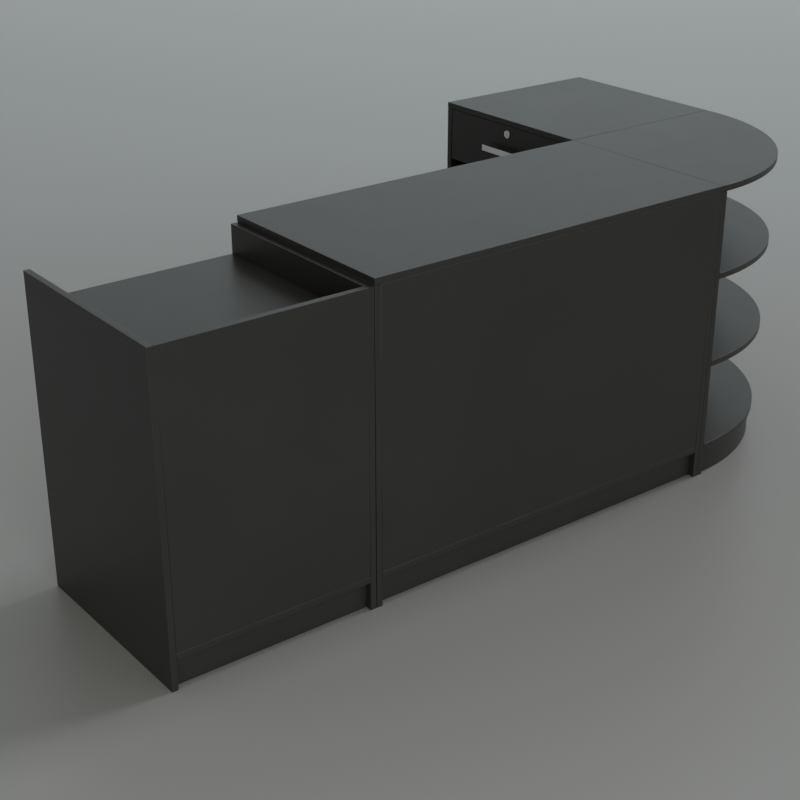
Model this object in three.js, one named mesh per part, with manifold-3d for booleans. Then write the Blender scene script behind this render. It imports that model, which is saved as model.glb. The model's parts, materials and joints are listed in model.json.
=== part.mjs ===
// Reception counter in black melamine board: a low cash unit, the main counter, a quarter-round
// display corner and a drawer unit, which stand side by side and form an L.
// Millimetres, +Z up. X runs along the customers' front, Y from the customers to the staff.
// The origin is on the floor, under the middle of the whole counter.
import * as THREE from 'three';
import { mergeVertices } from 'three/addons/utils/BufferGeometryUtils.js';
import loadManifold from 'manifold-3d';

// Driving dimensions of the four units
const HEIGHT = 900;
const DEPTH = 600;
const LOW_UNIT_WIDTH = 600;
const COUNTER_WIDTH = 1200;
const DRAWER_UNIT_WIDTH = 600;
const BOARD = 18;
const EDGE_RADIUS = 1;
const RIM_DROP = 20; // main top down to the rim of the low unit
const TOP_JOINT = 1.2; // drawer unit's side panel to its top, at the joint with the corner
const WORKTOP_DROP = 82; // rim down to the worktop inside the low unit
const BASE_HEIGHT = 100; // floor to the upper face of the base boards
const PLINTH_RECESS = 20;
const CURVED_PLINTH_RECESS = 9;
const CURVED_PLINTH_WALL = 10;
const INNER_SHELF_SETBACK = 20; // inner shelves behind the open side of a unit
const CORNER_SHELF_COUNT = 2; // above the base shelf of the corner
const CORNER_SHELF_PITCH = 270;

// Driving dimensions of the drawer
const DRAWER_FRONT_HEIGHT = 168;
const DRAWER_SETBACK = 2; // drawer front behind the edges of its carcass
const DRAWER_REVEAL = 2; // gap round the inset drawer front
const DRAWER_BOX_LENGTH = 480;
const DRAWER_WALL = 12;
const DRAWER_WALL_HEIGHT = 110;
const DRAWER_WALL_RISE = 15; // lower edge of the front up to the lower edge of the walls
const DRAWER_BOTTOM = 5;
const BOTTOM_GROOVE_DEPTH = 5;
const BOTTOM_GROOVE_RISE = 10; // lower edge of the walls up to the groove

// Driving dimensions of the telescopic runners
const RUNNER_LENGTH = 450;
const RUNNER_HEIGHT = 45;
const RUNNER_WIDTH = 12.7;
const RUNNER_SHEET = 1.2;
const RUNNER_BEND = 2; // inside radius of the folded flanges
const RUNNER_PLAY = 0.3; // between members that slide in each other
const RUNNER_INSET = 2; // back of the drawer front to the ends of the runners
const RUNNER_HOLE_RADIUS = 2.5;
const RUNNER_HOLE_INSET = 35; // end of a member to its first screw hole
const RUNNER_HOLE_SPACING = 128;

// Driving dimensions of the handle
const HANDLE_LENGTH = 188;
const HANDLE_HEIGHT = 20;
const HANDLE_BAR = 6;
const HANDLE_REACH = 27; // drawer front to the outer face of the bar
const HANDLE_POST_RADIUS = 5;
const HANDLE_POST_INSET = 30; // end of the bar to the middle of a post
const HANDLE_EDGE_RADIUS = 0.8;

// Driving dimensions of the lock
const LOCK_DROP = 26; // upper edge of the drawer front down to the middle of the lock
const LOCK_FLANGE_RADIUS = 13;
const LOCK_FLANGE = 5;
const LOCK_FLANGE_CHAMFER = 1;
const LOCK_SLEEVE_RADIUS = 9.5;
const LOCK_SLEEVE_TAIL = 0.5; // sleeve behind its nut
const LOCK_PLUG_RADIUS = 6;
const LOCK_PLUG_PROUD = 1;
const LOCK_PLUG_CHAMFER = 0.6;
const LOCK_PLAY = 0.2; // between the plug and its sleeve
const LOCK_STUB_RADIUS = 3.5;
const LOCK_STUB_TAIL = 1.5; // stub of the plug behind the cam
const KEY_SLOT_WIDTH = 1.6;
const KEY_SLOT_HEIGHT = 8;
const KEY_SLOT_DEPTH = 6;
const LOCK_NUT_WIDTH = 22; // across flats
const LOCK_NUT = 2.5;
const CAM = 2;
const CAM_HUB_RADIUS = 8;
const CAM_ARM_WIDTH = 10;
const STRIKE_SHEET = 1.5;
const STRIKE_WIDTH = 40;
const STRIKE_FLANGE = 20;
const STRIKE_GAP = 1; // back of the drawer front to the strike
const STRIKE_CLEARANCE = 2; // strike to the nut below it and the cam tip behind it

// Driving dimensions of the connectors that hold the low unit to the main counter
const CONNECTOR_INSET = 60; // staff edge of the side panels to the connectors
const CONNECTOR_SLEEVE_RADIUS = 5;
const CONNECTOR_SCREW_RADIUS = 3;
const CONNECTOR_HEAD_RADIUS = 8.5;
const CONNECTOR_HEAD = 2;
const CONNECTOR_CHAMFER = 0.6;
const CONNECTOR_BORE_FLOOR = 4; // seat of the sleeve's head to the floor of its bore
const CONNECTOR_SLEEVE_REST = 4; // open end of the sleeve inside the counter's panel

// Clearances
const SEAM = 0.3; // between pieces that butt or seat
const UNIT_GAP = 0.6; // between neighbouring units of full height
const LOW_UNIT_GAP = 2; // between the low unit and the main counter

// Facets; an arc of an extruded outline gets twice its number
const QUARTER_SEGMENTS = 24;
const EDGE_SEGMENTS = 2;
const BEND_SEGMENTS = 2;
const HOLE_SEGMENTS = 12;
const ROUND_SEGMENTS = 24;
const OVERLAP = 1; // depth by which joined shapes run into each other
const MERGE_DISTANCE = 1e-4;

// Levels and lines that several pieces share
const topUnderside = HEIGHT - BOARD;
const carcassTop = topUnderside - SEAM;
const baseUnderside = BASE_HEIGHT - BOARD;
const plinthTop = baseUnderside - SEAM;
const rimHeight = HEIGHT - RIM_DROP;
const worktopHeight = rimHeight - WORKTOP_DROP;
const inside = BOARD + SEAM; // first free line behind a panel's outer face
const lowShelfSpan = shelfSpan(BASE_HEIGHT, worktopHeight - BOARD);
const connectorLevels = [
  { name: 'lower', height: (BASE_HEIGHT + lowShelfSpan[0]) / 2 },
  { name: 'upper', height: (lowShelfSpan[1] + worktopHeight - BOARD) / 2 },
];

const manifold = await loadManifold();
manifold.setup();

// Finishes
function blackMelamine() {
  return new THREE.MeshStandardMaterial({ color: 0x2b2c2b, roughness: 0.5, metalness: 0 });
}

function blackHardboard() {
  return new THREE.MeshStandardMaterial({ color: 0x1d1d1d, roughness: 0.7, metalness: 0 });
}

function satinNickel() {
  return new THREE.MeshStandardMaterial({ color: 0xe7e7e5, roughness: 0.4, metalness: 0.7 });
}

function zincSteel() {
  return new THREE.MeshStandardMaterial({ color: 0xa8abad, roughness: 0.4, metalness: 0.9 });
}

// Shape helpers
const turnTo = {
  x: new THREE.Matrix4().makeBasis(
    new THREE.Vector3(0, 1, 0), new THREE.Vector3(0, 0, 1), new THREE.Vector3(1, 0, 0)),
  y: new THREE.Matrix4().makeBasis(
    new THREE.Vector3(0, 0, 1), new THREE.Vector3(1, 0, 0), new THREE.Vector3(0, 1, 0)),
  z: new THREE.Matrix4(),
};
const planeAcross = { x: ['y', 'z'], y: ['z', 'x'], z: ['x', 'y'] };

function piece(name, material, geometry, x = 0, y = 0, z = 0) {
  const mesh = new THREE.Mesh(geometry, material);
  mesh.name = name;
  mesh.position.set(x, y, z);
  return mesh;
}

function rectangle(width, height) {
  const shape = new THREE.Shape();
  shape.moveTo(0, 0);
  shape.lineTo(width, 0);
  shape.lineTo(width, height);
  shape.lineTo(0, height);
  return shape;
}

function roundHole(x, y, radius) {
  const hole = new THREE.Path();
  hole.absarc(x, y, radius, 0, 2 * Math.PI, true);
  return hole;
}

// A plate of the given outline from z = 0 up, with rounded edges along both faces.
function plate(shape, thickness, radius, segments) {
  const geometry = new THREE.ExtrudeGeometry(shape, {
    depth: thickness - 2 * radius,
    bevelEnabled: true,
    bevelThickness: radius,
    bevelSize: radius,
    bevelOffset: -radius,
    bevelSegments: EDGE_SEGMENTS,
    curveSegments: segments,
  });
  return geometry.translate(0, 0, radius);
}

// A straight length of the given section, from z = 0 up.
function bar(shape, length, segments) {
  return new THREE.ExtrudeGeometry(shape, { depth: length, bevelEnabled: false, curveSegments: segments });
}

// A board between two limits along each axis, thin along one of them, with holes in its own outline.
function board(name, thin, x, y, z, { material = blackMelamine(), holes = [] } = {}) {
  const size = { x: x[1] - x[0], y: y[1] - y[0], z: z[1] - z[0] };
  const [across, up] = planeAcross[thin];
  const outline = rectangle(size[across], size[up]);
  outline.holes.push(...holes);
  const geometry = plate(outline, size[thin], EDGE_RADIUS, HOLE_SEGMENTS);
  return piece(name, material, geometry.applyMatrix4(turnTo[thin]), x[0], y[0], z[0]);
}

// Boolean helpers
function toSolid(geometry) {
  const bare = geometry.clone();
  bare.deleteAttribute('normal');
  bare.deleteAttribute('uv');
  const merged = mergeVertices(bare, MERGE_DISTANCE);
  const corners = merged.index.array;
  const triangles = [];
  for (let first = 0; first < corners.length; first += 3) {
    const [a, b, c] = corners.slice(first, first + 3);
    if (a !== b && b !== c && c !== a) triangles.push(a, b, c);
  }
  return new manifold.Manifold(new manifold.Mesh({
    numProp: 3,
    vertProperties: new Float32Array(merged.attributes.position.array),
    triVerts: new Uint32Array(triangles),
  }));
}

function toGeometry(solid) {
  const mesh = solid.getMesh();
  const indexed = new THREE.BufferGeometry();
  indexed.setAttribute('position', new THREE.BufferAttribute(mesh.vertProperties, 3));
  indexed.setIndex(new THREE.BufferAttribute(mesh.triVerts, 1));
  const geometry = indexed.toNonIndexed();
  geometry.computeVertexNormals();
  return geometry;
}

// Base board and the two plinths of a unit whose fronts face -Y
function straightBase(unitName, width) {
  const between = [inside, width - inside];
  const plinthSpan = [0, plinthTop];
  const rearPlinth = DEPTH - PLINTH_RECESS;
  return [
    board(`${unitName}_base_board`, 'z', between, [0, DEPTH], [baseUnderside, BASE_HEIGHT]),
    board(`${unitName}_front_plinth`, 'y', between, [PLINTH_RECESS, PLINTH_RECESS + BOARD], plinthSpan),
    board(`${unitName}_rear_plinth`, 'y', between, [rearPlinth - BOARD, rearPlinth], plinthSpan),
  ];
}

// Middle of a free height, for a shelf that halves it
function shelfSpan(low, high) {
  const middle = (low + high) / 2;
  return [middle - BOARD / 2, middle + BOARD / 2];
}

// Bores of the connectors, in the outline of a side panel
function connectorBores() {
  const radius = CONNECTOR_SLEEVE_RADIUS + SEAM;
  return connectorLevels.map(({ height }) => roundHole(DEPTH - CONNECTOR_INSET, height, radius));
}

// Low cash unit with a rim round its worktop
function lowUnit() {
  const unit = new THREE.Group();
  const between = [inside, LOW_UNIT_WIDTH - inside];
  const shelfDepth = [inside, DEPTH - INNER_SHELF_SETBACK];
  const worktopSpan = [worktopHeight - BOARD, worktopHeight];
  const rightSide = [LOW_UNIT_WIDTH - BOARD, LOW_UNIT_WIDTH];
  const holes = connectorBores();
  unit.add(
    board('low_left_side', 'x', [0, BOARD], [0, DEPTH], [0, rimHeight]),
    board('low_right_side', 'x', rightSide, [0, DEPTH], [0, rimHeight], { holes }),
    board('low_front', 'y', between, [0, BOARD], [BASE_HEIGHT + SEAM, rimHeight]),
    board('low_worktop', 'z', between, [inside, DEPTH], worktopSpan),
    board('low_shelf', 'z', between, shelfDepth, lowShelfSpan),
    ...straightBase('low', LOW_UNIT_WIDTH),
  );
  return unit;
}

// Main counter, open at the staff side, with a divider and a shelf at each side of it
function counterUnit() {
  const unit = new THREE.Group();
  const between = [inside, COUNTER_WIDTH - inside];
  const shelfDepth = [inside, DEPTH - INNER_SHELF_SETBACK];
  const carcassSpan = [BASE_HEIGHT + SEAM, carcassTop];
  const divider = [(COUNTER_WIDTH - BOARD) / 2, (COUNTER_WIDTH + BOARD) / 2];
  const shelfLevel = shelfSpan(BASE_HEIGHT, topUnderside);
  const holes = connectorBores();
  unit.add(
    board('counter_left_side', 'x', [0, BOARD], [0, DEPTH], [0, carcassTop], { holes }),
    board('counter_right_side', 'x', [COUNTER_WIDTH - BOARD, COUNTER_WIDTH], [0, DEPTH], [0, carcassTop]),
    board('counter_front', 'y', between, [0, BOARD], carcassSpan),
    board('counter_top', 'z', [0, COUNTER_WIDTH], [0, DEPTH], [topUnderside, HEIGHT]),
    board('counter_divider', 'x', divider, [inside, DEPTH], carcassSpan),
    board('counter_left_shelf', 'z', [inside, divider[0] - SEAM], shelfDepth, shelfLevel),
    board('counter_right_shelf', 'z', [divider[1] + SEAM, COUNTER_WIDTH - inside], shelfDepth, shelfLevel),
    ...straightBase('counter', COUNTER_WIDTH),
  );
  return unit;
}

// Quarter disc whose straight sides lie a seam away from the two panels of the corner
function quarterShelf(name, top) {
  const radius = DEPTH - inside;
  const shape = new THREE.Shape();
  shape.absarc(0, 0, radius, -Math.PI / 2, 0, false);
  shape.lineTo(0, 0);
  const geometry = plate(shape, BOARD, EDGE_RADIUS, QUARTER_SEGMENTS);
  return piece(name, blackMelamine(), geometry, inside, DEPTH - inside, top - BOARD);
}

// Quarter-round top, which runs on over both panels of the corner
function quarterTop() {
  const shape = new THREE.Shape();
  shape.absarc(BOARD, DEPTH - BOARD, DEPTH - BOARD, -Math.PI / 2, 0, false);
  shape.lineTo(DEPTH, DEPTH);
  shape.lineTo(0, DEPTH);
  shape.lineTo(0, 0);
  const geometry = plate(shape, BOARD, EDGE_RADIUS, QUARTER_SEGMENTS);
  return piece('corner_top', blackMelamine(), geometry, 0, 0, topUnderside);
}

// Bent plinth that follows the quarter-round base shelf
function curvedPlinth() {
  const outer = DEPTH - inside - CURVED_PLINTH_RECESS;
  const inner = outer - CURVED_PLINTH_WALL;
  const shape = new THREE.Shape();
  shape.absarc(0, 0, outer, -Math.PI / 2, 0, false);
  shape.absarc(0, 0, inner, 0, -Math.PI / 2, true);
  const geometry = plate(shape, plinthTop, EDGE_RADIUS, QUARTER_SEGMENTS);
  return piece('corner_curved_plinth', blackMelamine(), geometry, inside, DEPTH - inside, 0);
}

// Quarter-round display corner with open shelves
function cornerUnit() {
  const unit = new THREE.Group();
  unit.add(
    board('corner_side', 'x', [0, BOARD], [0, DEPTH], [0, carcassTop]),
    board('corner_back', 'y', [inside, DEPTH], [DEPTH - BOARD, DEPTH], [0, carcassTop]),
    quarterTop(),
    quarterShelf('corner_base_shelf', BASE_HEIGHT),
    curvedPlinth(),
  );
  for (let count = 1; count <= CORNER_SHELF_COUNT; count += 1) {
    unit.add(quarterShelf(`corner_shelf_${count}`, BASE_HEIGHT + count * CORNER_SHELF_PITCH));
  }
  return unit;
}

// Lines and levels of the drawer, in the frame of the drawer unit
const drawerTop = topUnderside - DRAWER_REVEAL;
const drawerLow = drawerTop - DRAWER_FRONT_HEIGHT;
const drawerMiddle = DRAWER_UNIT_WIDTH / 2;
const wallLow = drawerLow + DRAWER_WALL_RISE;
const wallTop = wallLow + DRAWER_WALL_HEIGHT;
const wallOuter = inside + RUNNER_WIDTH + SEAM;
const drawerBack = DRAWER_SETBACK + BOARD; // inner face of the drawer front
const boxStart = drawerBack + SEAM;
const boxEnd = boxStart + DRAWER_BOX_LENGTH;
const grooveLow = wallLow + BOTTOM_GROOVE_RISE;
const grooveHeight = DRAWER_BOTTOM + 2 * SEAM;
const lockHeight = drawerTop - LOCK_DROP;

// Carcass of the drawer unit: open to the staff at -X, closed to the customers at +X
function drawerUnitCarcass() {
  const between = [inside, DRAWER_UNIT_WIDTH - inside];
  const plinthSpan = [0, plinthTop];
  const faceInner = DEPTH - BOARD;
  const faceSpan = [BASE_HEIGHT + SEAM, carcassTop];
  const outerPlinth = DEPTH - PLINTH_RECESS;
  const shelfDepth = [INNER_SHELF_SETBACK, faceInner - SEAM];
  const farSide = [DRAWER_UNIT_WIDTH - BOARD, DRAWER_UNIT_WIDTH];
  return [
    board('drawer_unit_near_side', 'y', [0, DEPTH], [0, BOARD], [0, carcassTop]),
    board('drawer_unit_far_side', 'y', [0, DEPTH], farSide, [0, carcassTop]),
    board('drawer_unit_top', 'z', [0, DEPTH], [TOP_JOINT, DRAWER_UNIT_WIDTH], [topUnderside, HEIGHT]),
    board('drawer_unit_face', 'x', [faceInner, DEPTH], between, faceSpan),
    board('drawer_unit_base_board', 'z', [0, DEPTH], between, [baseUnderside, BASE_HEIGHT]),
    board('drawer_unit_staff_plinth', 'x', [PLINTH_RECESS, PLINTH_RECESS + BOARD], between, plinthSpan),
    board('drawer_unit_outer_plinth', 'x', [outerPlinth - BOARD, outerPlinth], between, plinthSpan),
    board('drawer_unit_shelf', 'z', shelfDepth, between, shelfSpan(BASE_HEIGHT, drawerLow)),
  ];
}

// Inset drawer front with the bore for the lock
function drawerFront() {
  const edge = BOARD + DRAWER_REVEAL;
  const shape = rectangle(DRAWER_UNIT_WIDTH - 2 * edge, DRAWER_FRONT_HEIGHT);
  shape.holes.push(roundHole(drawerMiddle - edge, lockHeight - drawerLow, LOCK_SLEEVE_RADIUS + SEAM));
  const geometry = plate(shape, BOARD, EDGE_RADIUS, HOLE_SEGMENTS).applyMatrix4(turnTo.x);
  return piece('drawer_front', blackMelamine(), geometry, DRAWER_SETBACK, edge, drawerLow);
}

// Side wall of the drawer box, with the groove that holds the bottom; inward is +1 or -1 along Y
function drawerWall(name, outerLine, inward) {
  const rise = BOTTOM_GROOVE_RISE;
  const floor = DRAWER_WALL - BOTTOM_GROOVE_DEPTH;
  const shape = new THREE.Shape();
  shape.moveTo(0, 0);
  shape.lineTo(inward * DRAWER_WALL, 0);
  shape.lineTo(inward * DRAWER_WALL, rise);
  shape.lineTo(inward * floor, rise);
  shape.lineTo(inward * floor, rise + grooveHeight);
  shape.lineTo(inward * DRAWER_WALL, rise + grooveHeight);
  shape.lineTo(inward * DRAWER_WALL, DRAWER_WALL_HEIGHT);
  shape.lineTo(0, DRAWER_WALL_HEIGHT);
  const geometry = bar(shape, DRAWER_BOX_LENGTH, 1).applyMatrix4(turnTo.x);
  return piece(name, blackMelamine(), geometry, boxStart, outerLine, wallLow);
}

// Walls, back and bottom of the drawer behind its front
function drawerBox() {
  const innerLine = wallOuter + DRAWER_WALL;
  const bottomLine = innerLine - BOTTOM_GROOVE_DEPTH + SEAM;
  const bottomLow = grooveLow + SEAM;
  const bottomTop = bottomLow + DRAWER_BOTTOM;
  const backAcross = [innerLine + SEAM, DRAWER_UNIT_WIDTH - innerLine - SEAM];
  const bottomAcross = [bottomLine, DRAWER_UNIT_WIDTH - bottomLine];
  const bottomSpan = [bottomLow, bottomTop];
  const backSpan = [bottomTop + SEAM, wallTop];
  return [
    drawerWall('drawer_near_wall', wallOuter, 1),
    drawerWall('drawer_far_wall', DRAWER_UNIT_WIDTH - wallOuter, -1),
    board('drawer_back', 'x', [boxEnd - DRAWER_WALL, boxEnd], backAcross, backSpan),
    board('drawer_bottom', 'z', [boxStart, boxEnd], bottomAcross, bottomSpan, { material: blackHardboard() }),
  ];
}

// Section of a folded channel: its web on the line x = 0, its two flanges pointing to +x
function channel(height, width) {
  const outer = RUNNER_BEND + RUNNER_SHEET;
  const half = height / 2;
  const right = Math.PI / 2;
  const shape = new THREE.Shape();
  shape.moveTo(width, half - RUNNER_SHEET);
  shape.lineTo(width, half);
  shape.absarc(outer, half - outer, outer, right, 2 * right, false);
  shape.absarc(outer, outer - half, outer, 2 * right, 3 * right, false);
  shape.lineTo(width, -half);
  shape.lineTo(width, RUNNER_SHEET - half);
  shape.absarc(outer, outer - half, RUNNER_BEND, 3 * right, 2 * right, true);
  shape.absarc(outer, half - outer, RUNNER_BEND, 2 * right, right, true);
  return shape;
}

// A member's channel along X with a row of screw holes through its web
function drilled(channelBar) {
  let solid = toSolid(channelBar);
  const last = RUNNER_LENGTH - RUNNER_HOLE_INSET;
  for (let along = RUNNER_HOLE_INSET; along <= last; along += RUNNER_HOLE_SPACING) {
    const depth = 2 * (RUNNER_SHEET + OVERLAP);
    const drill = new THREE.CylinderGeometry(RUNNER_HOLE_RADIUS, RUNNER_HOLE_RADIUS, depth, HOLE_SEGMENTS);
    solid = solid.subtract(toSolid(drill.translate(along, 0, 0)));
  }
  return toGeometry(solid);
}

// Three nested members of one telescopic runner; inward is +1 or -1 along Y
function runner(sideName, panelLine, inward) {
  const nest = RUNNER_SHEET + RUNNER_PLAY;
  const start = drawerBack + RUNNER_INSET;
  const middle = wallLow + DRAWER_WALL_HEIGHT / 2;
  const middleWidth = RUNNER_WIDTH - 2 * nest;
  const flangeRoom = middleWidth - RUNNER_BEND;
  const members = [
    { name: 'cabinet_member', line: 0, levels: 0, width: RUNNER_WIDTH - nest, towards: 1, screwed: true },
    { name: 'middle_member', line: nest, levels: 1, width: middleWidth, towards: 1, screwed: false },
    { name: 'drawer_member', line: RUNNER_WIDTH, levels: 2, width: flangeRoom, towards: -1, screwed: true },
  ];
  return members.map(({ name, line, levels, width, towards, screwed }) => {
    const section = channel(RUNNER_HEIGHT - 2 * levels * nest, width);
    const halfTurn = inward * towards > 0 ? 0 : Math.PI;
    const member = bar(section, RUNNER_LENGTH, BEND_SEGMENTS).rotateZ(halfTurn).applyMatrix4(turnTo.x);
    const geometry = screwed ? drilled(member) : member;
    const across = panelLine + inward * line;
    return piece(`${sideName}_runner_${name}`, zincSteel(), geometry, start, across, middle);
  });
}

// Flat bar on two round posts
function handle() {
  const middleHeight = drawerLow + DRAWER_FRONT_HEIGHT / 2;
  const barBack = HANDLE_REACH - HANDLE_BAR;
  const face = plate(rectangle(HANDLE_LENGTH, HANDLE_HEIGHT), HANDLE_BAR, HANDLE_EDGE_RADIUS, 1);
  face.applyMatrix4(turnTo.x);
  face.translate(-HANDLE_REACH, -HANDLE_LENGTH / 2, -HANDLE_HEIGHT / 2);
  let solid = toSolid(face);
  const postLength = barBack + OVERLAP - SEAM;
  const postOffset = HANDLE_LENGTH / 2 - HANDLE_POST_INSET;
  for (const offset of [-postOffset, postOffset]) {
    const radius = HANDLE_POST_RADIUS;
    const post = new THREE.CylinderGeometry(radius, radius, postLength, ROUND_SEGMENTS);
    post.rotateZ(Math.PI / 2);
    post.translate(-SEAM - postLength / 2, offset, 0);
    solid = solid.add(toSolid(post));
  }
  return piece('drawer_handle', satinNickel(), toGeometry(solid), DRAWER_SETBACK, drawerMiddle, middleHeight);
}

// Body of revolution about an axis along X; a profile point is [radius, distance towards -X]
function turned(profile) {
  const points = profile.map(([radius, out]) => new THREE.Vector2(radius, out));
  return new THREE.LatheGeometry(points, ROUND_SEGMENTS).rotateZ(Math.PI / 2);
}

// Lines along the lock's axis, measured out of the drawer front
const nutFace = -BOARD - SEAM;
const sleeveEnd = nutFace - LOCK_NUT - LOCK_SLEEVE_TAIL;
const flangeFace = SEAM + LOCK_FLANGE;
const camFace = sleeveEnd - SEAM;
const stubEnd = camFace - CAM - LOCK_STUB_TAIL;
const plugFace = flangeFace + LOCK_PLUG_PROUD;
const nutReach = LOCK_NUT_WIDTH / Math.sqrt(3); // middle of the nut to its corners

// Fixed housing: flange on the drawer front, sleeve through it
function lockHousing() {
  const bore = LOCK_PLUG_RADIUS + LOCK_PLAY;
  const geometry = turned([
    [bore, sleeveEnd],
    [LOCK_SLEEVE_RADIUS, sleeveEnd],
    [LOCK_SLEEVE_RADIUS, SEAM],
    [LOCK_FLANGE_RADIUS, SEAM],
    [LOCK_FLANGE_RADIUS, flangeFace - LOCK_FLANGE_CHAMFER],
    [LOCK_FLANGE_RADIUS - LOCK_FLANGE_CHAMFER, flangeFace],
    [bore, flangeFace],
    [bore, sleeveEnd],
  ]);
  return piece('lock_housing', satinNickel(), geometry, DRAWER_SETBACK, drawerMiddle, lockHeight);
}

// Turning plug with a key slot in its face and a stub for the cam
function lockPlug() {
  const body = turned([
    [0, stubEnd],
    [LOCK_STUB_RADIUS, stubEnd],
    [LOCK_STUB_RADIUS, sleeveEnd],
    [LOCK_PLUG_RADIUS, sleeveEnd],
    [LOCK_PLUG_RADIUS, plugFace - LOCK_PLUG_CHAMFER],
    [LOCK_PLUG_RADIUS - LOCK_PLUG_CHAMFER, plugFace],
    [0, plugFace],
  ]);
  const slot = new THREE.BoxGeometry(KEY_SLOT_DEPTH + OVERLAP, KEY_SLOT_WIDTH, KEY_SLOT_HEIGHT);
  slot.translate((KEY_SLOT_DEPTH - OVERLAP) / 2 - plugFace, 0, 0);
  const solid = toSolid(body).subtract(toSolid(slot));
  return piece('lock_plug', satinNickel(), toGeometry(solid), DRAWER_SETBACK, drawerMiddle, lockHeight);
}

// Flat cam on the stub of the plug, its arm level while the drawer is unlocked
function lockCam() {
  const tip = carcassTop - STRIKE_SHEET - STRIKE_CLEARANCE - lockHeight;
  const half = CAM_ARM_WIDTH / 2;
  const root = Math.asin(half / CAM_HUB_RADIUS);
  const shape = new THREE.Shape();
  shape.absarc(0, 0, CAM_HUB_RADIUS, root, 2 * Math.PI - root, false);
  shape.absarc(tip - half, 0, half, -Math.PI / 2, Math.PI / 2, false);
  shape.holes.push(roundHole(0, 0, LOCK_STUB_RADIUS + SEAM));
  const geometry = bar(shape, CAM, HOLE_SEGMENTS).applyMatrix4(turnTo.x);
  return piece('lock_cam', zincSteel(), geometry, DRAWER_SETBACK - camFace, drawerMiddle, lockHeight);
}

// Hexagon nut that clamps the housing behind the drawer front
function lockNut() {
  const sides = 6;
  const corners = [];
  for (let corner = 0; corner < sides; corner += 1) {
    const angle = corner * 2 * Math.PI / sides;
    corners.push(new THREE.Vector2(nutReach * Math.cos(angle), nutReach * Math.sin(angle)));
  }
  const shape = new THREE.Shape(corners);
  shape.holes.push(roundHole(0, 0, LOCK_SLEEVE_RADIUS + SEAM));
  const geometry = bar(shape, LOCK_NUT, HOLE_SEGMENTS).applyMatrix4(turnTo.x);
  return piece('lock_nut', zincSteel(), geometry, DRAWER_SETBACK - nutFace, drawerMiddle, lockHeight);
}

// Steel angle under the top, behind which the cam turns
function lockStrike() {
  const drop = carcassTop - lockHeight - nutReach - STRIKE_CLEARANCE;
  const shape = new THREE.Shape();
  shape.moveTo(0, 0);
  shape.lineTo(0, -drop);
  shape.lineTo(STRIKE_SHEET, -drop);
  shape.lineTo(STRIKE_SHEET, -STRIKE_SHEET);
  shape.lineTo(STRIKE_FLANGE, -STRIKE_SHEET);
  shape.lineTo(STRIKE_FLANGE, 0);
  const geometry = bar(shape, STRIKE_WIDTH, 1).rotateX(Math.PI / 2);
  const farEnd = drawerMiddle + STRIKE_WIDTH / 2;
  return piece('lock_strike', zincSteel(), geometry, drawerBack + STRIKE_GAP, farEnd, carcassTop);
}

// Drawer unit with its drawer, runners and lock
function drawerUnit() {
  const unit = new THREE.Group();
  unit.add(
    ...drawerUnitCarcass(),
    drawerFront(),
    ...drawerBox(),
    ...runner('near', inside, 1),
    ...runner('far', DRAWER_UNIT_WIDTH - inside, -1),
    handle(),
    lockHousing(),
    lockNut(),
    lockPlug(),
    lockCam(),
    lockStrike(),
  );
  return unit;
}

// Two connectors through the side panels of the low unit and the counter: a blind sleeve from the low
// unit and a screw from the counter. Profiles start at the inner face of the counter's panel.
function connectors() {
  const headEdge = CONNECTOR_HEAD_RADIUS - CONNECTOR_CHAMFER;
  const bore = CONNECTOR_SCREW_RADIUS + SEAM;
  const sleeveSeat = 2 * BOARD + LOW_UNIT_GAP + SEAM;
  const boreFloor = sleeveSeat - CONNECTOR_BORE_FLOOR;
  const sleeveFace = sleeveSeat + CONNECTOR_HEAD;
  const screwFace = -SEAM - CONNECTOR_HEAD;
  const sleeve = [
    [0, boreFloor],
    [bore, boreFloor],
    [bore, CONNECTOR_SLEEVE_REST],
    [CONNECTOR_SLEEVE_RADIUS, CONNECTOR_SLEEVE_REST],
    [CONNECTOR_SLEEVE_RADIUS, sleeveSeat],
    [CONNECTOR_HEAD_RADIUS, sleeveSeat],
    [CONNECTOR_HEAD_RADIUS, sleeveFace - CONNECTOR_CHAMFER],
    [headEdge, sleeveFace],
    [0, sleeveFace],
  ];
  const screw = [
    [0, screwFace],
    [headEdge, screwFace],
    [CONNECTOR_HEAD_RADIUS, screwFace + CONNECTOR_CHAMFER],
    [CONNECTOR_HEAD_RADIUS, -SEAM],
    [CONNECTOR_SCREW_RADIUS, -SEAM],
    [CONNECTOR_SCREW_RADIUS, boreFloor - SEAM],
    [0, boreFloor - SEAM],
  ];
  const counterFace = LOW_UNIT_WIDTH + LOW_UNIT_GAP + BOARD;
  const line = DEPTH - CONNECTOR_INSET;
  return connectorLevels.flatMap(({ name, height }) => [
    piece(`${name}_connector_sleeve`, zincSteel(), turned(sleeve), counterFace, line, height),
    piece(`${name}_connector_screw`, zincSteel(), turned(screw), counterFace, line, height),
  ]);
}

// The four units side by side
function receptionDesk() {
  const counterStart = LOW_UNIT_WIDTH + LOW_UNIT_GAP;
  const cornerStart = counterStart + COUNTER_WIDTH + UNIT_GAP;
  const drawerUnitStart = DEPTH + UNIT_GAP;
  const low = lowUnit();
  const counter = counterUnit();
  const corner = cornerUnit();
  const drawers = drawerUnit();
  counter.position.x = counterStart;
  corner.position.x = cornerStart;
  drawers.position.set(cornerStart, drawerUnitStart, 0);
  const desk = new THREE.Group();
  desk.add(low, counter, corner, drawers, ...connectors());
  desk.position.set(-(cornerStart + DEPTH) / 2, -(drawerUnitStart + DRAWER_UNIT_WIDTH) / 2, 0);
  const root = new THREE.Group();
  root.add(desk);
  return root;
}

export default receptionDesk();
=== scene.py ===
# Looks of the reception counter: camera, studio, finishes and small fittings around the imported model.
import json
import math

import bmesh
import bpy
from mathutils import Matrix, Vector


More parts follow.
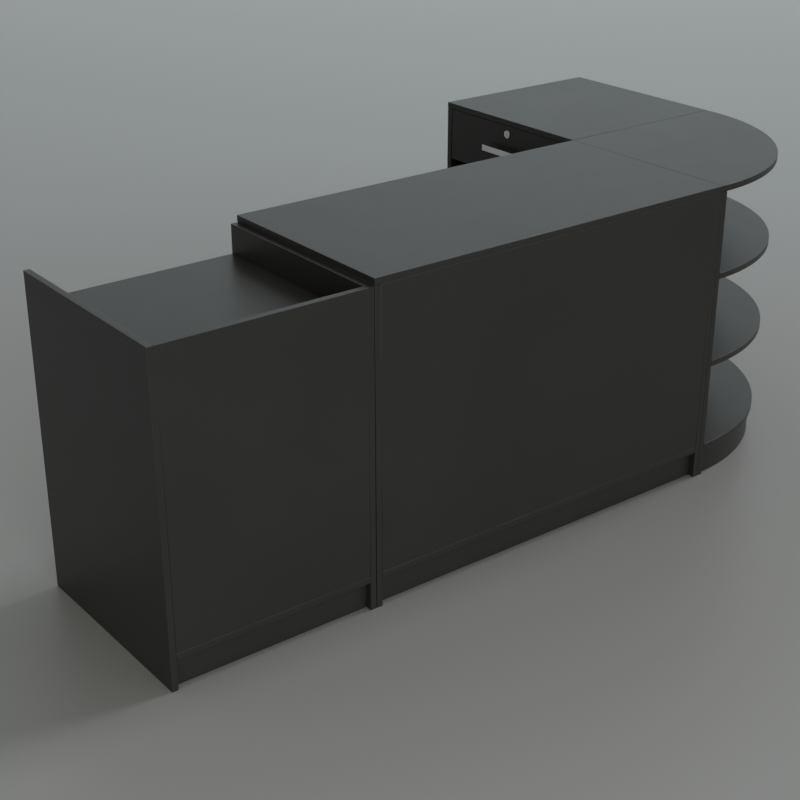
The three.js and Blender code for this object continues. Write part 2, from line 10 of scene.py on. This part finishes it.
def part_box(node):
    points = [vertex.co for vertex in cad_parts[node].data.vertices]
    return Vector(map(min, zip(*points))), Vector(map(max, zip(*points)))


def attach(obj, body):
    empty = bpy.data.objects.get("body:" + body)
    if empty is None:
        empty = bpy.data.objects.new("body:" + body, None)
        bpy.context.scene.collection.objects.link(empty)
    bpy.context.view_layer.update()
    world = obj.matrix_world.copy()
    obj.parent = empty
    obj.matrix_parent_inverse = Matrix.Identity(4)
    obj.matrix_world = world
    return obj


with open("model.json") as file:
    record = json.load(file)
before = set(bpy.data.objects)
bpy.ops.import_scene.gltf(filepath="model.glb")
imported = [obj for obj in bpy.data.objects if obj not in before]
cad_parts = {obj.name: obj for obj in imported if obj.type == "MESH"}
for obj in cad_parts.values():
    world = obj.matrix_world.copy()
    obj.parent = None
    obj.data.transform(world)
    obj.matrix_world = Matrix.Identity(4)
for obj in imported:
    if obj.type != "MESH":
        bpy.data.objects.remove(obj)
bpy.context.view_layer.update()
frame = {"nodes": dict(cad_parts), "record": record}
scene = bpy.context.scene
scene.view_settings.view_transform = "Standard"
MM = 0.001
UP = Vector((0, 0, 1))

# Camera at the photograph's viewpoint
CAMERA_PLACE = (-2.5917, -3.2821, 2.1342)
CAMERA_AZIMUTH = math.radians(-37.614)
CAMERA_ELEVATION = math.radians(24.830)
CAMERA_LENS = 68.798
CAMERA_SENSOR = 36.0

# Floor whose colour is darker near the counter and paler with distance, painted light and shade, and
# which passes into a plain backdrop
FLOOR_HALF = 30.0
FLOOR_NEAR = (0.303, 0.303, 0.298, 1)
FLOOR_MIDDLE = (0.362, 0.376, 0.387, 1)
FLOOR_FAR = (0.448, 0.465, 0.480, 1)
FLOOR_NEAR_REACH = 1.2
FLOOR_MIDDLE_REACH = 3.5
FLOOR_FAR_REACH = 9.0
FLOOR_END_REACH = 26.0
FLOOR_ROUGHNESS = 0.42
BACKDROP = (0.25, 0.262, 0.266, 1)

# Soft sky lobes, each with a direction, a sharpness and a colour
SKY_LOBES = (
    ((0, 0, 1), 2, (0.47, 0.47, 0.43)),
    ((0, -1, 0), 2, (0.56, 0.56, 0.50)),
    ((0.71, 0.71, 0), 4, (0.83, 0.935, 0.965)),
)

# Broad key from behind the counter and a weak fill on the low unit
KEY_FROM = (7.0, -0.35, 9.0)
KEY_TARGET = (0, 0, 0)
KEY_ANGLE = math.radians(16)
KEY_STRENGTH = 0.8
KEY_COLOUR = (1.0, 1.0, 1.06)
FILL_PLACE = (-2.2, -4.4, 1.7)
FILL_TARGET = (-0.8, -0.5, 0.2)
FILL_SIZE = 2.0
FILL_POWER = 10.0
FILL_SPREAD = math.radians(80)

# Shading of the rounded board edges and of the small fittings
SMOOTH_ANGLE = math.radians(50)
FITTING_SMOOTH_ANGLE = math.radians(35)
WELD_DISTANCE = 1e-5
LARGE_FACE_WEIGHT = 100


def make_camera():
    back = Vector((
        math.sin(CAMERA_AZIMUTH) * math.cos(CAMERA_ELEVATION),
        -math.cos(CAMERA_AZIMUTH) * math.cos(CAMERA_ELEVATION),
        math.sin(CAMERA_ELEVATION),
    ))
    data = bpy.data.cameras.new("camera")
    data.lens = CAMERA_LENS
    data.sensor_width = CAMERA_SENSOR
    data.clip_end = 4 * FLOOR_HALF
    camera = bpy.data.objects.new("camera", data)
    camera.location = CAMERA_PLACE
    camera.rotation_mode = "QUATERNION"
    camera.rotation_quaternion = (-back).to_track_quat("-Z", "Y")
    scene.collection.objects.link(camera)
    scene.camera = camera


# Node helpers
NOISE_LOW = 0.3  # a noise stays between these two values nearly everywhere
NOISE_HIGH = 0.7


class Nodes:
    """A shader tree whose nodes are added one by one."""

    def __init__(self, tree):
        self.tree = tree
        self.tree.nodes.clear()

    def add(self, kind, **settings):
        node = self.tree.nodes.new(kind)
        for key, value in settings.items():
            setattr(node, key, value)
        return node

    def link(self, source, target):
        self.tree.links.new(source, target)

    def blend(self, factor, first, second):
        """Mixes two colours, each a plain one or the output of a node."""
        node = self.add("ShaderNodeMix", data_type="RGBA")
        self.link(factor, node.inputs["Factor"])
        for socket, colour in (("A", first), ("B", second)):
            target = next(s for s in node.inputs if s.name == socket and s.type == "RGBA")
            if isinstance(colour, tuple):
                target.default_value = colour
            else:
                self.link(colour, target)
        return next(s for s in node.outputs if s.type == "RGBA")

    def product(self, first, second):
        node = self.add("ShaderNodeMath", operation="MULTIPLY")
        self.link(first, node.inputs[0])
        self.link(second, node.inputs[1])
        return node.outputs["Value"]

    def span(self, value, low, high, from_low=NOISE_LOW, from_high=NOISE_HIGH):
        """Maps the values between from_low and from_high to those between low and high."""
        node = self.add("ShaderNodeMapRange")
        node.inputs["From Min"].default_value = from_low
        node.inputs["From Max"].default_value = from_high
        node.inputs["To Min"].default_value = low
        node.inputs["To Max"].default_value = high
        self.link(value, node.inputs["Value"])
        return node.outputs["Result"]

    def camera_rays(self):
        """Is 1 for what the camera sees directly and 0 in light and reflections."""
        return self.add("ShaderNodeLightPath").outputs["Is Camera Ray"]


class Shader(Nodes):
    """A principled material with its texture space in the model's frame."""

    def __init__(self, name):
        self.material = bpy.data.materials.new(name)
        self.material.use_nodes = True
        super().__init__(self.material.node_tree)
        self.bsdf = self.add("ShaderNodeBsdfPrincipled")
        self.surface = self.add("ShaderNodeOutputMaterial").inputs["Surface"]
        self.link(self.bsdf.outputs["BSDF"], self.surface)
        self.place = self.add("ShaderNodeTexCoord").outputs["Object"]

    def stretched(self, scale):
        node = self.add("ShaderNodeMapping")
        node.inputs["Scale"].default_value = scale
        self.link(self.place, node.inputs["Vector"])
        return node.outputs["Vector"]

    def noise(self, scale, detail=2.0, roughness=0.5, vector=None):
        node = self.add("ShaderNodeTexNoise")
        node.inputs["Scale"].default_value = scale
        node.inputs["Detail"].default_value = detail
        node.inputs["Roughness"].default_value = roughness
        self.link(vector or self.place, node.inputs["Vector"])
        return node.outputs["Fac"]

    def bump(self, height, strength, distance, under=None):
        node = self.add("ShaderNodeBump")
        node.inputs["Strength"].default_value = strength
        node.inputs["Distance"].default_value = distance
        self.link(height, node.inputs["Height"])
        if under is not None:
            self.link(under, node.inputs["Normal"])
        return node.outputs["Normal"]

    def tilt_mask(self, start, full):
        """Goes from 0 to 1 as the upward part of the surface normal goes from start to full."""
        parts = self.add("ShaderNodeSeparateXYZ")
        self.link(self.add("ShaderNodeNewGeometry").outputs["Normal"], parts.inputs["Vector"])
        return self.span(parts.outputs["Z"], 0.0, 1.0, start, full)


# Finishes
MELAMINE_DARK = (0.0305, 0.0305, 0.0282, 1)
MELAMINE_LIGHT = (0.0355, 0.0355, 0.0330, 1)
# colour of the upward-facing edges: painted highlight together with edge wear
MELAMINE_EDGE_HIGHLIGHT_AND_WEAR = (0.115, 0.117, 0.115, 1)
MELAMINE_IOR = 1.43
HARDBOARD_DARK = (0.012, 0.012, 0.0115, 1)
HARDBOARD_LIGHT = (0.018, 0.018, 0.017, 1)
NICKEL_DARK = (0.88, 0.88, 0.865, 1)
NICKEL_LIGHT = (0.96, 0.96, 0.945, 1)
NICKEL_ROUGHNESS = (0.14, 0.24)
NICKEL_STRETCH = (6.0, 0.4, 6.0)
ZINC_DARK = (0.42, 0.43, 0.44, 1)
ZINC_LIGHT = (0.56, 0.57, 0.58, 1)
ZINC_ROUGHNESS = (0.26, 0.44)
ZINC_STRETCH = (0.5, 5.0, 5.0)


def black_melamine():
    """Satin board with a fine pearl, a slight orange peel and upper edges lightened by a painted
    highlight with patchy wear.
    """
    s = Shader("black_melamine")
    pearl = s.noise(scale=700.0, detail=3.0, roughness=0.55)
    peel = s.noise(scale=55.0, detail=1.0)
    clouds = s.noise(scale=1.7, detail=4.0, roughness=0.6)
    smudge = s.noise(scale=7.0, detail=5.0, roughness=0.65)
    board = s.blend(s.span(clouds, low=0.0, high=1.0), MELAMINE_DARK, MELAMINE_LIGHT)
    # Painted highlight on the upward-facing rounded edges, made patchy by the smudge noise as edge wear
    arris = s.product(s.tilt_mask(start=0.05, full=0.35), s.tilt_mask(start=0.995, full=0.95))
    highlight_and_wear = s.product(arris, s.span(smudge, low=0.55, high=1.0))
    s.link(s.blend(highlight_and_wear, board, MELAMINE_EDGE_HIGHLIGHT_AND_WEAR), s.bsdf.inputs["Base Color"])
    s.link(s.span(smudge, low=0.39, high=0.415), s.bsdf.inputs["Roughness"])
    s.bsdf.inputs["IOR"].default_value = MELAMINE_IOR
    wave = s.bump(peel, strength=0.03, distance=0.8 * MM)
    relief = s.bump(pearl, strength=0.10, distance=0.12 * MM, under=wave)
    s.link(relief, s.bsdf.inputs["Normal"])
    return s.material


def black_hardboard():
    """Dull, fibrous sheet."""
    s = Shader("black_hardboard")
    fibre = s.noise(scale=260.0, detail=4.0, roughness=0.7)
    clouds = s.noise(scale=6.0, detail=3.0)
    board = s.blend(s.span(clouds, low=0.0, high=1.0), HARDBOARD_DARK, HARDBOARD_LIGHT)
    s.link(board, s.bsdf.inputs["Base Color"])
    s.link(s.span(fibre, low=0.6, high=0.8), s.bsdf.inputs["Roughness"])
    s.link(s.bump(fibre, strength=0.25, distance=0.3 * MM), s.bsdf.inputs["Normal"])
    return s.material


def brushed_metal(name, dark, light, roughness, stretch):
    """Metal with fine streaks along the axis that is stretched least."""
    s = Shader(name)
    s.bsdf.inputs["Metallic"].default_value = 1.0
    streaks = s.noise(scale=220.0, detail=3.0, roughness=0.6, vector=s.stretched(stretch))
    clouds = s.noise(scale=25.0, detail=3.0)
    tone = s.blend(s.span(clouds, low=0.0, high=1.0), dark, light)
    s.link(tone, s.bsdf.inputs["Base Color"])
    s.link(s.span(streaks, *roughness), s.bsdf.inputs["Roughness"])
    s.link(s.bump(streaks, strength=0.12, distance=0.08 * MM), s.bsdf.inputs["Normal"])
    return s.material


FINISHES = {
    "black_melamine": black_melamine(),
    "black_hardboard": black_hardboard(),
    "satin_nickel": brushed_metal(
        "satin_nickel", NICKEL_DARK, NICKEL_LIGHT, NICKEL_ROUGHNESS, NICKEL_STRETCH,
    ),
    "zinc_steel": brushed_metal("zinc_steel", ZINC_DARK, ZINC_LIGHT, ZINC_ROUGHNESS, ZINC_STRETCH),
}


def smooth_group():
    """Welds the facets of a solid and shades them smooth up to an angle."""
    group = bpy.data.node_groups.new("smooth_up_to_angle", "GeometryNodeTree")
    group.interface.new_socket("Geometry", in_out="INPUT", socket_type="NodeSocketGeometry")
    group.interface.new_socket("Geometry", in_out="OUTPUT", socket_type="NodeSocketGeometry")
    add = group.nodes.new
    start = add("NodeGroupInput")
    weld = add("GeometryNodeMergeByDistance")
    weld.inputs["Distance"].default_value = WELD_DISTANCE
    plain = add("GeometryNodeRemoveAttribute")
    plain.inputs["Name"].default_value = "custom_normal"
    smooth = add("GeometryNodeSetShadeSmooth")
    angle = add("GeometryNodeInputMeshEdgeAngle")
    steep = add("FunctionNodeCompare")
    steep.operation = "GREATER_THAN"
    steep.inputs["B"].default_value = SMOOTH_ANGLE
    sharp = add("GeometryNodeSetShadeSmooth")
    sharp.domain = "EDGE"
    sharp.inputs["Shade Smooth"].default_value = False
    end = add("NodeGroupOutput")
    link = group.links.new
    link(start.outputs["Geometry"], plain.inputs["Geometry"])
    link(plain.outputs["Geometry"], weld.inputs["Geometry"])
    link(weld.outputs["Geometry"], smooth.inputs["Geometry"])
    link(smooth.outputs["Geometry"], sharp.inputs["Geometry"])
    link(angle.outputs["Unsigned Angle"], steep.inputs["A"])
    link(steep.outputs["Result"], sharp.inputs["Selection"])
    link(sharp.outputs["Geometry"], end.inputs["Geometry"])
    return group


def dress_cad_nodes():
    group = smooth_group()
    for entry in frame["record"]["subparts"]:
        piece = frame["nodes"][entry["node"]]
        piece.data.materials.clear()
        piece.data.materials.append(FINISHES[entry["material_slot"]])
        smooth = piece.modifiers.new("smooth", "NODES")
        smooth.node_group = group
        weighted = piece.modifiers.new("weighted", "WEIGHTED_NORMAL")
        weighted.keep_sharp = True
        weighted.weight = LARGE_FACE_WEIGHT


# Mesh helpers for the small fittings
LATHE_SEGMENTS = 32
BEVEL_SEGMENTS = 2
ROUND_PROFILE = 0.5


def lathe(profile):
    """Closed body of revolution about Z; the profile of (radius, height) starts and ends on the axis."""
    body = bmesh.new()
    turns = [2 * math.pi * step / LATHE_SEGMENTS for step in range(LATHE_SEGMENTS)]
    rings = []
    for radius, height in profile:
        ring = [(radius * math.cos(turn), radius * math.sin(turn), height) for turn in turns]
        if radius == 0:
            ring = [(0, 0, height)]
        rings.append([body.verts.new(place) for place in ring])
    for low, high in zip(rings, rings[1:]):
        for i in range(LATHE_SEGMENTS):
            j = (i + 1) % LATHE_SEGMENTS
            corners = [low[i % len(low)], low[j % len(low)], high[j % len(high)], high[i % len(high)]]
            body.faces.new(list(dict.fromkeys(corners)))
    return body


def extruded(outline, depth, bevel=0.0):
    """Closed body with the given outline in XY, from z = 0 up."""
    body = bmesh.new()
    base = body.faces.new([body.verts.new((x, y, 0)) for x, y in outline])
    lifted = bmesh.ops.extrude_face_region(body, geom=[base])["geom"]
    corners = [element for element in lifted if isinstance(element, bmesh.types.BMVert)]
    bmesh.ops.translate(body, verts=corners, vec=(0, 0, depth))
    if bevel:
        bmesh.ops.bevel(
            body, geom=body.edges[:], offset=bevel, segments=BEVEL_SEGMENTS, profile=ROUND_PROFILE,
            affect="EDGES",
        )
    return body


def as_mesh(body, name, turn=Matrix()):
    bmesh.ops.transform(body, matrix=turn, verts=body.verts)
    bmesh.ops.recalc_face_normals(body, faces=body.faces)
    mesh = bpy.data.meshes.new(name)
    body.to_mesh(mesh)
    body.free()
    return mesh


def joined(base, tool, operation):
    """Mesh of the boolean UNION or DIFFERENCE of two meshes."""
    holders = []
    for mesh in (base, tool):
        holder = bpy.data.objects.new("holder", mesh)
        scene.collection.objects.link(holder)
        holders.append(holder)
    step = holders[0].modifiers.new("join", "BOOLEAN")
    step.operation = operation
    step.solver = "EXACT"
    step.object = holders[1]
    bpy.context.view_layer.update()
    made = holders[0].evaluated_get(bpy.context.evaluated_depsgraph_get())
    result = bpy.data.meshes.new_from_object(made)
    result.name = base.name
    for holder in holders:
        bpy.data.objects.remove(holder)
    return result


def shade(mesh):
    for face in mesh.polygons:
        face.use_smooth = True
    mesh.set_sharp_from_angle(angle=FITTING_SMOOTH_ANGLE)
    return mesh


def fit(name, mesh, place, outward, slot, body, up=UP):
    """Places a fitting whose Z points outward and whose Y points up, on a body."""
    piece = bpy.data.objects.new(name, mesh)
    scene.collection.objects.link(piece)
    outward = Vector(outward)
    across = Vector(up).cross(outward)
    turn = Matrix((across, outward.cross(across), outward)).transposed()
    piece.matrix_world = Matrix.Translation(place) @ turn.to_4x4()
    if not mesh.materials:
        mesh.materials.append(FINISHES[slot])
    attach(piece, body)
    return piece


# Screw heads, each with a radius and a height
HANDLE_SCREW = (4.0 * MM, 2.6 * MM)
STRIKE_SCREW = (3.2 * MM, 1.9 * MM)
CAM_SCREW = (4.2 * MM, 2.4 * MM)
RUNNER_SCREW = (3.9 * MM, 1.7 * MM)
SCREW_SEAT = 0.1 * MM
CROWN_STEPS = 5
CROWN_FLAT = 0.45  # share of the radius that the flat middle of the crown takes
CROWN_START = 0.3  # share of the height where the crown starts
RECESS_DEPTH = 0.55  # share of the head's height
RECESS_ARM_WIDTH = 0.24  # share of the arm's length
RECESS_TAPER = 0.55  # size at the bottom as a share of that at the mouth


def cross_recess(radius, height, depth):
    """Tapered cross that is cut into a screw head."""
    width = RECESS_ARM_WIDTH * radius
    cutter = None
    for length, breadth in ((radius, width), (width, radius)):
        arm = bmesh.new()
        bmesh.ops.create_cube(arm, size=1.0)
        for v in arm.verts:
            shrink = RECESS_TAPER if v.co.z < 0 else 1.0
            v.co.x *= length * shrink
            v.co.y *= breadth * shrink
            v.co.z = height + (depth if v.co.z > 0 else -depth)
        mesh = as_mesh(arm, "recess")
        cutter = joined(cutter, mesh, "UNION") if cutter else mesh
    return cutter


def pan_head(name, radius, height):
    """Screw head with a rounded crown and a cross recess, its seat on z = 0."""
    crown = [(0, 0), (radius, 0), (radius, CROWN_START * height)]
    for step in range(1, CROWN_STEPS + 1):
        turn = math.pi / 2 * step / CROWN_STEPS
        reach = CROWN_FLAT + (1 - CROWN_FLAT) * math.cos(turn)
        rise = CROWN_START + (1 - CROWN_START) * math.sin(turn)
        crown.append((radius * reach, height * rise))
    crown.append((0, height))
    head = as_mesh(lathe(crown), name)
    return shade(joined(head, cross_recess(radius, height, RECESS_DEPTH * height), "DIFFERENCE"))


# Cam discs and shelf pins
CHAMFER = 0.3 * MM
CAM_RADIUS = 7.5 * MM
CAM_RIM = 1.1 * MM
CAM_PROUD = 0.7 * MM
CAM_RECESS = 0.55  # reach of the cross as a share of the radius
PIN_COLLAR_RADIUS = 4.5 * MM
PIN_COLLAR = 1.2 * MM
PIN_TONGUE = 1.9 * MM
PIN_HALF_WIDTH = 4.0 * MM
PIN_REACH = 10.0 * MM
PIN_CLEARANCE = 0.2 * MM  # shelf to the tongue under it
PIN_TIP_STEPS = 8
PIN_RIB = 1.6 * MM
PIN_RIB_TOP = -1.5 * MM  # upper edge of the rib, inside the tongue
PIN_RIB_SETBACK = 2.0 * MM  # tip of the tongue to the end of the rib
PIN_RIB_LIFT = 1.0 * MM  # lower edge of the collar to the foot of the rib


def cam_disc():
    """Face of an eccentric cam fitting in its bore: a rim, a dished face and a cross recess."""
    dish = CAM_PROUD - CHAMFER
    inner = CAM_RADIUS - CAM_RIM
    profile = [
        (0, 0), (CAM_RADIUS, 0), (CAM_RADIUS, dish), (CAM_RADIUS - CHAMFER, CAM_PROUD),
        (inner, CAM_PROUD), (inner - CHAMFER, dish), (0, dish),
    ]
    disc = as_mesh(lathe(profile), "cam_disc")
    recess = cross_recess(CAM_RECESS * CAM_RADIUS, dish, CHAMFER)
    return shade(joined(disc, recess, "DIFFERENCE"))


def pin_collar():
    """Round collar that lies on the panel, a little below the shelf."""
    profile = [
        (0, 0), (PIN_COLLAR_RADIUS, 0), (PIN_COLLAR_RADIUS, PIN_COLLAR - CHAMFER),
        (PIN_COLLAR_RADIUS - CHAMFER, PIN_COLLAR), (0, PIN_COLLAR),
    ]
    lower = Matrix.Translation((0, -PIN_COLLAR_RADIUS - PIN_CLEARANCE, 0))
    return as_mesh(lathe(profile), "shelf_pin", lower)


def pin_tongue(start):
    """Flat tongue with a round tip that carries the shelf."""
    outline = [(-PIN_HALF_WIDTH, start), (PIN_HALF_WIDTH, start)]
    for step in range(PIN_TIP_STEPS + 1):
        turn = math.pi * step / PIN_TIP_STEPS
        tip = PIN_REACH - PIN_HALF_WIDTH + PIN_HALF_WIDTH * math.sin(turn)
        outline.append((PIN_HALF_WIDTH * math.cos(turn), tip))
    flat = Matrix.Translation((0, -PIN_CLEARANCE, 0)) @ Matrix.Rotation(math.radians(90), 4, "X")
    return as_mesh(extruded(outline, PIN_TONGUE, CHAMFER), "tongue", flat)


def pin_rib(start):
    """Triangular rib that stands between the collar and the tongue."""
    foot = PIN_RIB_LIFT - 2 * PIN_COLLAR_RADIUS
    outline = [(start, PIN_RIB_TOP), (PIN_REACH - PIN_RIB_SETBACK, PIN_RIB_TOP), (start, foot)]
    stand = Matrix(((0, 0, 1, -PIN_RIB / 2), (0, 1, 0, 0), (1, 0, 0, 0), (0, 0, 0, 1)))
    return as_mesh(extruded(outline, PIN_RIB), "rib", stand)


def shelf_pin():
    """Shelf support: a collar on the panel, a tongue under the shelf and a rib between them."""
    start = PIN_COLLAR / 2
    pin = joined(pin_collar(), pin_tongue(start), "UNION")
    return shade(joined(pin, pin_rib(start), "UNION"))


# Places of the small fittings
PIN_INSET = 60 * MM
PIN_SEAM = 0.3 * MM  # edge of a shelf to the panel beside it
CORNER_PIN_INSETS = (100 * MM, 440 * MM)
CAM_INSET = 34 * MM
CAM_RISE = 68 * MM  # lower edge of a panel up to its lower cams
CAM_DROP = 136 * MM  # upper edge of a panel down to its upper cams
HANDLE_POST_INSET = 30 * MM
STRIKE_SHEET = 1.5 * MM
STRIKE_SCREW_INSET = 8 * MM
STRIKE_SCREW_OFFSET = 12 * MM
RUNNER_SHEET = 1.2 * MM
RUNNER_HOLE_INSET = 35 * MM
RUNNER_HOLE_SPACING = 128 * MM
RUNNER_HOLE_COUNT = 3


def add_pin(name, mesh, place, outward):
    fit(name, mesh, place, outward, "satin_nickel", "carcass")


def add_shelf_pins():
    mesh = shelf_pin()
    for shelf in ("low_shelf", "counter_left_shelf", "counter_right_shelf"):
        low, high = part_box(shelf)
        depths = (low.y + PIN_INSET, high.y - PIN_INSET)
        places = [(low.x - PIN_SEAM, y, 1) for y in depths] + [(high.x + PIN_SEAM, y, -1) for y in depths]
        for count, (x, y, side) in enumerate(places, 1):
            add_pin(f"{shelf}_pin_{count}", mesh, (x, y, low.z), (side, 0, 0))
    low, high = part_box("drawer_unit_shelf")
    depths = (low.x + PIN_INSET, high.x - PIN_INSET)
    places = [(x, low.y - PIN_SEAM, 1) for x in depths] + [(x, high.y + PIN_SEAM, -1) for x in depths]
    for count, (x, y, side) in enumerate(places, 1):
        add_pin(f"drawer_unit_shelf_pin_{count}", mesh, (x, y, low.z), (0, side, 0))
    for shelf in ("corner_shelf_1", "corner_shelf_2"):
        low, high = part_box(shelf)
        for count, inset in enumerate(CORNER_PIN_INSETS, 1):
            side_place = (low.x - PIN_SEAM, high.y - inset, low.z)
            back_place = (low.x + inset, high.y + PIN_SEAM, low.z)
            add_pin(f"{shelf}_side_pin_{count}", mesh, side_place, (1, 0, 0))
            add_pin(f"{shelf}_back_pin_{count}", mesh, back_place, (0, -1, 0))


def add_cam_fittings():
    mesh = cam_disc()
    for front in ("low_front", "counter_front"):
        low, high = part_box(front)
        levels = (low.z + CAM_RISE, high.z - CAM_DROP)
        lines = (low.x + CAM_INSET, high.x - CAM_INSET)
        places = [(x, high.y, z) for x in lines for z in levels]
        for count, place in enumerate(places, 1):
            fit(f"{front}_cam_{count}", mesh, place, (0, 1, 0), "zinc_steel", "carcass")
    low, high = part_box("drawer_unit_face")
    places = [(low.x, y, low.z + CAM_RISE) for y in (low.y + CAM_INSET, high.y - CAM_INSET)]
    for count, place in enumerate(places, 1):
        fit(f"drawer_unit_face_cam_{count}", mesh, place, (-1, 0, 0), "zinc_steel", "carcass")


def add_handle_screws():
    """Screws through the drawer front into the posts of the handle."""
    handle_low, handle_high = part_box("drawer_handle")
    front_low, front_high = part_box("drawer_front")
    middle = (handle_low + handle_high) / 2
    post_offset = (handle_high.y - handle_low.y) / 2 - HANDLE_POST_INSET
    mesh = pan_head("handle_screw", *HANDLE_SCREW)
    for count, side in enumerate((-1, 1), 1):
        place = (front_high.x + SCREW_SEAT, middle.y + side * post_offset, middle.z)
        fit(f"handle_screw_{count}", mesh, place, (1, 0, 0), "zinc_steel", "drawer")


def add_lock_screws():
    """Screws that hold the strike under the top, and the cam on the plug."""
    strike_low, strike_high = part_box("lock_strike")
    underside = strike_high.z - STRIKE_SHEET - SCREW_SEAT
    middle = (strike_low.y + strike_high.y) / 2
    mesh = pan_head("strike_screw", *STRIKE_SCREW)
    for count, side in enumerate((-1, 1), 1):
        place = (strike_high.x - STRIKE_SCREW_INSET, middle + side * STRIKE_SCREW_OFFSET, underside)
        fit(f"strike_screw_{count}", mesh, place, (0, 0, -1), "zinc_steel", "carcass", up=(1, 0, 0))
    plug_low, plug_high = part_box("lock_plug")
    place = (plug_high.x + SCREW_SEAT, (plug_low.y + plug_high.y) / 2, (plug_low.z + plug_high.z) / 2)
    fit("cam_screw", pan_head("cam_screw", *CAM_SCREW), place, (1, 0, 0), "zinc_steel", "lock")


def add_runner_screws():
    """Screws through the holes of the drawer members, their heads inside the channels."""
    mesh = pan_head("runner_screw", *RUNNER_SCREW)
    for runner, outward in (("near", -1), ("far", 1)):
        low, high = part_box(f"{runner}_runner_drawer_member")
        web = high.y if outward < 0 else low.y
        seat = web + outward * (RUNNER_SHEET + SCREW_SEAT)
        middle = (low.z + high.z) / 2
        for count in range(RUNNER_HOLE_COUNT):
            place = (low.x + RUNNER_HOLE_INSET + count * RUNNER_HOLE_SPACING, seat, middle)
            name = f"{runner}_runner_screw_{count + 1}"
            fit(name, mesh, place, (0, outward, 0), "zinc_steel", "drawer")


# Floor, sky and lights
def fade_to_backdrop(s, reach):
    """Lets the far floor pass into the plain backdrop in the camera's view."""
    veil = s.add("ShaderNodeEmission")
    veil.inputs["Color"].default_value = BACKDROP
    distant = s.span(reach, 0.0, 1.0, FLOOR_FAR_REACH, FLOOR_END_REACH)
    mix = s.add("ShaderNodeMixShader")
    s.link(s.product(s.camera_rays(), distant), mix.inputs["Fac"])
    s.link(s.bsdf.outputs["BSDF"], mix.inputs[1])
    s.link(veil.outputs["Emission"], mix.inputs[2])
    s.link(mix.outputs["Shader"], s.surface)


def floor_with_painted_light():
    """Pale floor whose colour follows the distance from the counter: painted light and shade, darker near
    it and paler far off.
    """
    s = Shader("floor")
    length = s.add("ShaderNodeVectorMath", operation="LENGTH")
    s.link(s.place, length.inputs[0])
    reach = length.outputs["Value"]
    # painted light and shade: the floor's colour gets paler with distance from the counter
    paler = s.span(reach, 0.0, 1.0, FLOOR_NEAR_REACH, FLOOR_MIDDLE_REACH)
    palest = s.span(reach, 0.0, 1.0, FLOOR_MIDDLE_REACH, FLOOR_FAR_REACH)
    inner = s.blend(paler, FLOOR_NEAR, FLOOR_MIDDLE)
    s.link(s.blend(palest, inner, FLOOR_FAR), s.bsdf.inputs["Base Color"])
    s.bsdf.inputs["Roughness"].default_value = FLOOR_ROUGHNESS
    fade_to_backdrop(s, reach)
    return s.material


def make_floor():
    half = FLOOR_HALF
    corners = [(-half, -half, 0), (half, -half, 0), (half, half, 0), (-half, half, 0)]
    mesh = bpy.data.meshes.new("floor")
    mesh.from_pydata(corners, [], [(0, 1, 2, 3)])
    mesh.materials.append(floor_with_painted_light())
    floor = bpy.data.objects.new("floor", mesh)
    scene.collection.objects.link(floor)


def sky_lobe(nodes, direction, axis, sharpness, colour):
    """Soft light round one direction."""
    ahead = nodes.add("ShaderNodeVectorMath", operation="DOT_PRODUCT")
    ahead.inputs[1].default_value = axis
    nodes.link(direction, ahead.inputs[0])
    forward = nodes.add("ShaderNodeMath", operation="MAXIMUM")
    forward.inputs[1].default_value = 0.0
    nodes.link(ahead.outputs["Value"], forward.inputs[0])
    fade = nodes.add("ShaderNodeMath", operation="POWER")
    fade.inputs[1].default_value = sharpness
    nodes.link(forward.outputs["Value"], fade.inputs[0])
    tint = nodes.add("ShaderNodeVectorMath", operation="SCALE")
    tint.inputs[0].default_value = colour
    nodes.link(fade.outputs["Value"], tint.inputs["Scale"])
    return tint.outputs["Vector"]


def make_sky():
    """Lights the counter by the lobes; the camera itself sees the plain backdrop."""
    world = bpy.data.worlds.new("studio")
    scene.world = world
    world.use_nodes = True
    nodes = Nodes(world.node_tree)
    direction = nodes.add("ShaderNodeTexCoord").outputs["Generated"]
    lobes = [sky_lobe(nodes, direction, *lobe) for lobe in SKY_LOBES]
    light = lobes[0]
    for lobe in lobes[1:]:
        total = nodes.add("ShaderNodeVectorMath", operation="ADD")
        nodes.link(light, total.inputs[0])
        nodes.link(lobe, total.inputs[1])
        light = total.outputs["Vector"]
    background = nodes.add("ShaderNodeBackground")
    nodes.link(nodes.blend(nodes.camera_rays(), light, BACKDROP), background.inputs["Color"])
    output = nodes.add("ShaderNodeOutputWorld")
    nodes.link(background.outputs["Background"], output.inputs["Surface"])


def aim_light(data, place, target):
    light = bpy.data.objects.new(data.name, data)
    light.location = place
    light.rotation_mode = "QUATERNION"
    light.rotation_quaternion = (Vector(target) - Vector(place)).to_track_quat("-Z", "Y")
    scene.collection.objects.link(light)
    return light


def make_lights():
    key = bpy.data.lights.new("key", "SUN")
    key.angle = KEY_ANGLE
    key.energy = KEY_STRENGTH
    key.color = KEY_COLOUR
    aim_light(key, KEY_FROM, KEY_TARGET)
    fill = bpy.data.lights.new("fill", "AREA")
    fill.size = FILL_SIZE
    fill.energy = FILL_POWER
    fill.spread = FILL_SPREAD
    aim_light(fill, FILL_PLACE, FILL_TARGET).visible_glossy = False


make_camera()
make_floor()
make_sky()
make_lights()
dress_cad_nodes()
add_shelf_pins()
add_cam_fittings()
add_handle_screws()
add_lock_screws()
add_runner_screws()
